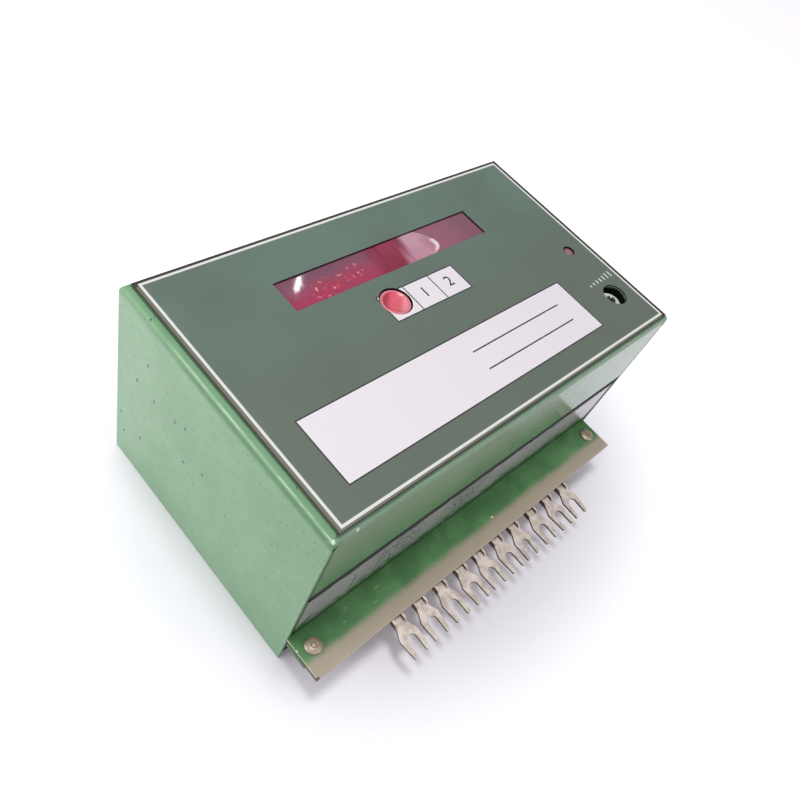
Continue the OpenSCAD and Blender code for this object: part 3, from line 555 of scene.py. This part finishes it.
def tinnedMetal():
    paint = Paint("tinnedMetal")
    s = tinSettings
    cloud = paint.noise(2.6, 4, 0.6)
    stain = paint.step(paint.noise(1.5, 4, 0.65, (1, 0.6, 1)), 0.55, 0.7)
    base = paint.mix(paint.step(cloud, 0.35, 0.65), colour(*s["dull"]), colour(*s["bright"]))
    base = paint.mix(stain * 0.3, base, colour(*s["stain"]))
    side = paint.step(paint.own("side"), 0.06, 0.34)  # painted shade on the upright faces and sheared edges
    base = paint.mix(side * 0.88, base, colour(*s["side"]))
    rough = 0.3 + 0.2 * cloud + 0.12 * stain
    height = cloud * 0.6 + paint.noise(0.5, 2) * 0.4
    return paint.finish(base=base, rough=rough, metal=0.3, normal=paint.bump(height, 0.05))


rivetSettings = {"dark": (190, 172, 150), "bright": (216, 201, 180), "caught": (54, 58, 36), "foot": (15.62, 15.4)}


def rivetMetal():
    paint = Paint("rivetMetal")
    s = rivetSettings
    cloud = paint.noise(1.4, 3)
    base = paint.mix(cloud, colour(*s["dark"]), colour(*s["bright"]))
    rim = paint.step(paint.z, *s["foot"])  # paint caught round the head's foot
    base = paint.mix(rim * 0.9, base, colour(*s["caught"]))
    return paint.finish(base=base, rough=0.34 + 0.15 * cloud, metal=0.75 - 0.5 * rim,
                        normal=paint.bump(cloud, 0.04))


def plainMetal(name, bright, dark, rough, metal=0.9, size=6, stretch=None):
    paint = Paint(name)
    cloud = paint.noise(size, 4, 0.6, stretch)
    mark = paint.specks(size, 0.06 * size, 0.2)
    base = paint.mix(cloud, colour(*dark), colour(*bright))
    base = paint.mix(mark * 0.4, base, colour(*[c * 0.5 for c in dark]))
    return paint.finish(base=base, rough=rough + 0.14 * cloud, metal=metal, normal=paint.bump(cloud, 0.02))


def plainPlastic(name, bright, dark, rough, size=5):
    paint = Paint(name)
    cloud = paint.noise(size, 3)
    fine = paint.noise(0.4, 2)
    base = paint.mix(cloud, colour(*dark), colour(*bright))
    return paint.finish(base=base, rough=rough + 0.12 * cloud, normal=paint.bump(fine, 0.012))


boardSettings = {"coat": (44, 84, 50), "track": (86, 122, 74)}


def coatedBoard():
    paint = Paint("coatedBoard")
    lane = paint.noise(2.4, 1, 0.4, (1, 0.12, 1))
    track = paint.step(abs(lane - 0.5), 0.05, 0.03)  # copper runs under the coat
    base = paint.mix(track * 0.6, colour(*boardSettings["coat"]), colour(*boardSettings["track"]))
    return paint.finish(base=base, rough=0.38 + 0.1 * paint.noise(8, 2), normal=paint.bump(track, 0.03))


filmSettings = {"warm": (187, 57, 97), "dusk": (143, 84, 109), "deep": (170, 43, 80), "stripe": (146, 24, 60),
                "red": (222, 40, 76), "glint": (252, 222, 228), "hazeAndReflection": (212, 162, 180), "white": (252, 240, 246),
                "end": (158, 94, 117), "endDark": (133, 82, 101),
                "litSpots": [((-26.5, 19, 75.5), (7.5, 5, 3)), ((-16, 21, 75.5), (6.5, 4.2, 3))]}


def redFilm():
    paint = Paint("redFilm")
    s = filmSettings
    x, y = paint.x, paint.y
    sway = paint.noise(11, 3, 0.55, (1, 0.55, 1), 0.6)
    streak = paint.noise(5, 4, 0.6, (1, 0.25, 1), 0.8)
    spark = paint.noise(1.1, 3, 0.6, (1, 0.8, 1), 0.3)
    base = paint.mix(paint.step(y + (sway - 0.5) * 5, 16.5, 25), colour(*s["warm"]), colour(*s["dusk"]))
    # deep red round the middle, striped upright where the figures stand
    middle = paint.step(abs(x - 0.5 + (sway - 0.5) * 5), 10, 4.5)
    upright = paint.step(paint.noise(3, 3, 0.5, (1, 0.3, 1), 0.5), 0.36, 0.66)
    base = paint.mix(middle * 0.9, base, paint.mix(upright, colour(*s["stripe"]), colour(*s["deep"])))
    # painted glints: red, white and deep red specks where the figures show through
    lit = paint.most(*[paint.near(place, reach, 0.3) for place, reach in s["litSpots"]])
    base = paint.mix(paint.step(spark, 0.48, 0.56) * lit * 0.85, base, colour(*s["red"]))
    base = paint.mix(paint.step(spark, 0.6, 0.67) * lit * 0.95, base, colour(*s["glint"]))
    base = paint.mix(paint.step(spark, 0.42, 0.34) * lit * 0.8, base, colour(*s["deep"]))
    # a painted reflection in the film: pale, soft on its left and crisp on its right
    fromLeft = x - 4 - (y - 16.4) * 0.34 + (streak - 0.5) * 4
    bend, low = y - 19, paint.most(19 - y, 0)
    fromRight = x - 20.1 + 0.09 * bend * bend + 0.24 * low * low
    swirl = paint.step(fromLeft, -1, 4) * paint.step(fromRight, 0.25, -0.25)
    base = paint.mix(swirl * (0.5 + 0.45 * paint.step(streak, 0.35, 0.65)), base, colour(*s["hazeAndReflection"]))
    # painted highlight along the reflection's crisp edge
    bright = paint.step(fromRight, -2.4, -0.8) * swirl * paint.step(abs(y - 18.8), 3.2, 1.8)
    base = paint.mix(bright * 0.9, base, colour(*s["white"]))
    right = paint.step(fromRight, -0.1, 0.4)
    end = paint.mix(paint.step(x, 22, 38), colour(*s["end"]), colour(*s["endDark"]))
    base = paint.mix(right * 0.9, base, end)
    hazeAndReflection = paint.most(right, swirl)
    wave = sway * 0.7 + streak * 0.3
    return paint.finish(base=base, rough=0.05 + 0.12 * hazeAndReflection, alpha=0.84 + 0.15 * hazeAndReflection, coat=1.0, coatRough=0.03,
                        normal=paint.bump(wave, 0.045))


lensSettings = {"middle": (-11.6, 5.4), "body": (234, 84, 104), "bodyPale": (246, 112, 128), "rim": (240, 148, 160),
                "far": (176, 38, 64), "near": (252, 158, 170), "wall": (112, 20, 42), "speck": (255, 236, 238)}


def redLens():
    paint = Paint("redLens")
    s = lensSettings
    cloud = paint.noise(2.4, 3)
    dx, dy = paint.x - s["middle"][0], paint.y - s["middle"][1]
    fromAxis = paint.math("SQRT", dx * dx + dy * dy)
    across = 0.7 * dy - 0.7 * dx + (cloud - 0.5) * 1.2  # towards the far left
    dish = paint.step(fromAxis, 4.15, 3.7)
    base = paint.mix(cloud, colour(*s["body"]), colour(*s["bodyPale"]))
    # painted shade on the far-left inside of the dish, painted light on its near side, a painted highlight round the
    # rim and painted shade on the wall under the panel
    base = paint.mix(paint.step(across, 1.0, 3.0) * dish * 0.8, base, colour(*s["far"]))
    base = paint.mix(paint.step(across, -1.2, -3.2) * dish * 0.8, base, colour(*s["near"]))
    base = paint.mix(paint.step(fromAxis, 4.0, 4.2) * 0.85, base, colour(*s["rim"]))
    base = paint.mix(paint.step(paint.z, 75.66, 75.5) * paint.step(fromAxis, 4.55, 4.7), base, colour(*s["wall"]))
    specks = paint.specks(1.1, 0.13, 0.35) * paint.step(fromAxis, 2.2, 3.2)
    base = paint.mix(specks, base, colour(*s["speck"]))
    return paint.finish(base=base, rough=0.16 + 0.12 * cloud, coat=0.8, coatRough=0.06, depth=0.2,
                        depthScale=0.002, normal=paint.bump(cloud, 0.06))


indicatorSettings = {"dull": (148, 98, 116), "pale": (178, 130, 146), "crescent": (74, 34, 46), "middle": (63.8, -5)}


def indicatorLens():
    paint = Paint("indicatorLens")
    s = indicatorSettings
    cloud = paint.noise(1.6, 3)
    base = paint.mix(cloud, colour(*s["dull"]), colour(*s["pale"]))
    px, py = s["middle"]
    lit = paint.near((px + 0.35, py - 0.35, 75), (1.95, 1.95, 6), 0.85)
    # painted shade: a dark crescent where the hole's edge shades the lens
    base = paint.mix((1 - lit) * 0.85, base, colour(*s["crescent"]))
    return paint.finish(base=base, rough=0.25 + 0.15 * cloud, coat=0.5, normal=paint.bump(cloud, 0.03))


def digitRed(name, bright, dark, rough):
    paint = Paint(name)
    cloud = paint.noise(2.2, 3)
    base = paint.mix(cloud, colour(*dark), colour(*bright))
    return paint.finish(base=base, rough=rough + 0.08 * cloud, coat=0.6, normal=paint.bump(cloud, 0.04))


finishes = {
    "green_paint": greenPaint(),
    "printed_panel": printedPanel(),
    "red_filter": redFilm(),
    "bare_aluminium": bareAluminium(),
    "laminate": terminalLaminate(),
    "rivet_metal": rivetMetal(),
    "tinned_metal": tinnedMetal(),
    "red_lens": redLens(),
    "indicator": indicatorLens(),
    "bushing_metal": plainMetal("bushingMetal", (254, 254, 252), (242, 241, 238), 0.35, 0.1, 1.5),
    "shaft_metal": plainMetal("shaftMetal", (112, 104, 98), (66, 60, 56), 0.4, size=0.8),
    "screw_steel": plainMetal("screwSteel", (206, 206, 202), (160, 160, 156), 0.3, size=2),
    "black_plastic": plainPlastic("blackPlastic", (44, 44, 44), (30, 30, 31), 0.45),
    "board_laminate": coatedBoard(),
    "digit_plastic": digitRed("digitPlastic", (120, 28, 44), (86, 16, 30), 0.3),
    "column_brass": plainMetal("columnBrass", (206, 178, 110), (166, 136, 76), 0.32, size=3),
    "nylon": plainPlastic("nylon", (226, 224, 214), (206, 203, 190), 0.5),
    "capacitor_sleeve": plainPlastic("capacitorSleeve", (46, 66, 108), (34, 52, 90), 0.3),
    "core_steel": plainMetal("coreSteel", (96, 96, 98), (64, 64, 66), 0.5, 0.7, 1, (0.1, 6, 0.1)),
    "coil_wire": plainPlastic("coilTape", (214, 190, 116), (184, 158, 88), 0.45),
}
for part in frame["record"]["subparts"]:  # every CAD piece takes its finish
    node = nodes[part["node"]]
    node.data.materials.clear()
    node.data.materials.append(finishes[part["material_slot"]])
nodes["indicator_led"].data.materials[0] = finishes["indicator"]
print("finishes made:", len(finishes))


# case, chassis and terminal row keep their CAD shapes, with broken edges
softEdges = {"cover": (0.22, 2), "overlay": (0.06, 1), "chassis": (0.2, 2), "back_plate": (0.2, 2),
             "terminal_board": (0.12, 1), "rivet_left": (0.25, 3), "rivet_right": (0.25, 3),
             "sensitivity_pot": (0.15, 2), "pot_shaft": (0.12, 2), "cover_screws": (0.15, 2),
             "back_screws": (0.1, 1)}
softEdges.update({f"fork_{i}": (0.28, 3) for i in range(1, 11)})
slotOf = {part["node"]: part["material_slot"] for part in frame["record"]["subparts"]}
bodyOf = {name: body for body, names in frame["record"]["behaviour"]["bodies"].items() for name in names}

for nodeName, (edge, segments) in softEdges.items():
    piece = softened(nodeName, edge, segments)
    if nodeName.startswith("fork"):
        markSides(piece)
    finishPiece(piece, finishes[slotOf[nodeName]], bodyOf[nodeName], slotOf[nodeName], nodeName)
panelTop = {"drop": 0.03, "from": 76.1}  # room for the print on top
shiftPoints(bpy.data.objects["soft_overlay"], lambda x, y, z: z > panelTop["from"], (0, 0, -panelTop["drop"]))
boardEdge = {"inner": -45.6, "top": 15.0, "reach": 1.1}  # the board's upper edge leans on the wall
shiftPoints(bpy.data.objects["soft_terminal_board"],
            lambda x, y, z: y > boardEdge["inner"] and z > boardEdge["top"], (0, boardEdge["reach"], 0))
print("edges broken on", len(softEdges), "pieces")


buttonSettings = {"place": (-11.6, 5.4),
                  "profile": [(2.0, 66.4), (2.0, 71.2), (5.85, 71.2), (5.85, 74.4), (4.95, 74.4), (4.95, 75.4),
                              (4.84, 75.62), (4.65, 75.75), (4.4, 75.8), (4.15, 75.77), (3.9, 75.66), (3.3, 75.46),
                              (2.5, 75.25), (1.6, 75.1), (0.8, 75.02), (0.25, 75.0)]}
button = turned("buttonLens", buttonSettings["place"], buttonSettings["profile"])
finishPiece(button, finishes["red_lens"], "button", "red_lens", "push_button")
spring = merged("button_spring", "coilSpring")
smooth(spring, 60)
finishPiece(spring, finishes["screw_steel"], "housing", "screw_steel", "button_spring")
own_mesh(spring)
print("push button turned, with its spring")


filmSize = {"middle": (-0.4, 21.0), "size": (80.2, 11.0), "top": 75.6, "thick": 0.5, "wave": 0.035, "length": 13,
            "cells": (200, 28)}


def displayFilm():
    s = filmSize
    bpy.ops.object.select_all(action="DESELECT")
    across, along = s["cells"]
    bpy.ops.mesh.primitive_grid_add(x_subdivisions=across, y_subdivisions=along, size=1,
                                    location=(s["middle"][0] * mm, s["middle"][1] * mm, s["top"] * mm))
    film = bpy.context.object
    film.name = "displayFilm"
    film.scale = (s["size"][0] * mm, s["size"][1] * mm, 1)
    settle(film)
    waves = bpy.data.textures.new("filmWaves", "CLOUDS")
    waves.noise_scale = s["length"] * mm
    waves.noise_depth = 1
    applyModifier(film, "DISPLACE", texture=waves, texture_coords="LOCAL", strength=s["wave"] * mm, mid_level=0.5,
                  direction="Z")
    applyModifier(film, "SOLIDIFY", thickness=s["thick"] * mm, offset=-1)
    only(film)
    bpy.ops.object.shade_smooth_by_angle(angle=math.radians(40))
    return film


barSettings = {"count": 8, "pitch": 10.1, "first": -0.4 - 3.5 * 10.1, "y": 21.0, "z": 68.8, "length": 4.4,
               "width": 1.1, "high": 0.5, "step": 5.0, "edge": 0.12}


def digitBars():
    s = barSettings
    half = s["step"] / 2
    places = [(0, s["step"], 0), (0, 0, 0), (0, -s["step"], 0)]
    places += [(sx * half, sy * half, 90) for sx in (-1, 1) for sy in (-1, 1)]
    made = []
    for px, py, turn in places:  # one bar: a six-sided rod drawn out flat
        bpy.ops.object.select_all(action="DESELECT")
        bpy.ops.mesh.primitive_cylinder_add(vertices=6, radius=0.5 * mm, depth=s["high"] * mm,
                                            rotation=(0, 0, math.radians(turn)),
                                            location=((s["first"] + px) * mm, (s["y"] + py) * mm,
                                                      (s["z"] + s["high"] / 2) * mm))
        bar = bpy.context.object
        bar.scale = (s["width"], s["length"], 1) if turn else (s["length"], s["width"], 1)
        bar.rotation_euler = (0, 0, 0)
        settle(bar)
        made.append(bar)
    bpy.ops.object.select_all(action="DESELECT")
    for bar in made:
        bar.select_set(True)
    bpy.context.view_layer.objects.active = made[0]
    bpy.ops.object.join()
    first = bpy.context.object
    first.name = "digitBars_1"
    applyModifier(first, "BEVEL", width=s["edge"] * mm, segments=2, limit_method="ANGLE")
    smooth(first, 40)
    sets = [first]
    for i in range(1, s["count"]):
        only(first)
        bpy.ops.object.duplicate()
        copy = bpy.context.object
        copy.name = f"digitBars_{i + 1}"
        copy.location.x = i * s["pitch"] * mm
        settle(copy)
        sets.append(copy)
    return sets


finishPiece(displayFilm(), finishes["red_filter"], "housing", "red_filter", "display_window")
barPaint = digitRed("digitBarRed", (236, 120, 128), (206, 70, 86), 0.12)
for bars in digitBars():
    finishPiece(bars, barPaint, "housing", "digit_plastic")
print("display film and digit bars made")


markSettings = {"top": 76.17, "thick": 0.03, "figures": (("1", -0.5, 3.9), ("2", 10.2, 3.9)), "figureHeight": 5.6,
                "rules": ((-4, 38, -20.6, 0.45), (-4, 38, -27.6, 0.45)),
                "ticks": {"from": 57.2, "to": 69.4, "foot": -21.2, "count": 7, "half": 0.28, "first": 0.9,
                          "rise": 0.28}}


def figure(text, px, py):
    bpy.ops.object.select_all(action="DESELECT")
    bpy.ops.object.text_add(location=(px * mm, py * mm, markSettings["top"] * mm))
    mark = bpy.context.object
    mark.name = "figure_" + text
    mark.data.body = text
    mark.data.size = markSettings["figureHeight"] * mm
    mark.data.align_x = "CENTER"
    mark.data.align_y = "CENTER"
    only(mark)
    bpy.ops.object.convert(target="MESH")
    mark = bpy.context.object
    applyModifier(mark, "SOLIDIFY", thickness=markSettings["thick"] * mm, offset=1)
    settle(mark)
    return mark


def stroke(name, x0, x1, y0, y1):  # a flat printed bar with rounded corners
    bpy.ops.object.select_all(action="DESELECT")
    bpy.ops.mesh.primitive_cube_add(size=1, location=((x0 + x1) / 2 * mm, (y0 + y1) / 2 * mm,
                                                      (markSettings["top"] + markSettings["thick"] / 2) * mm))
    bar = bpy.context.object
    bar.name = name
    bar.scale = ((x1 - x0) * mm, (y1 - y0) * mm, markSettings["thick"] * mm)
    settle(bar)
    applyModifier(bar, "BEVEL", width=0.3 * min(x1 - x0, y1 - y0) * mm, segments=2, limit_method="ANGLE",
                  affect="EDGES")
    return bar


inkPaint = plainPlastic("printInk", (60, 54, 56), (46, 42, 44), 0.5, 3)
whiteInk = plainPlastic("whiteInk", (236, 236, 230), (220, 220, 214), 0.5, 3)
for text, px, py in markSettings["figures"]:
    finishPiece(figure(text, px, py), inkPaint, "housing", "printed_panel")
for number, (x0, x1, y, width) in enumerate(markSettings["rules"], 1):
    finishPiece(stroke(f"writeRule_{number}", x0, x1, y - width / 2, y + width / 2), inkPaint, "housing",
                "printed_panel")
ticks = markSettings["ticks"]
for i in range(ticks["count"]):  # rising ticks beside the adjuster
    x = ticks["from"] + (ticks["to"] - ticks["from"]) * i / (ticks["count"] - 1)
    top = ticks["foot"] + ticks["first"] + ticks["rise"] * i
    finishPiece(stroke(f"levelTick_{i + 1}", x - ticks["half"], x + ticks["half"], ticks["foot"], top), whiteInk,
                "housing", "printed_panel")
print("marks printed")
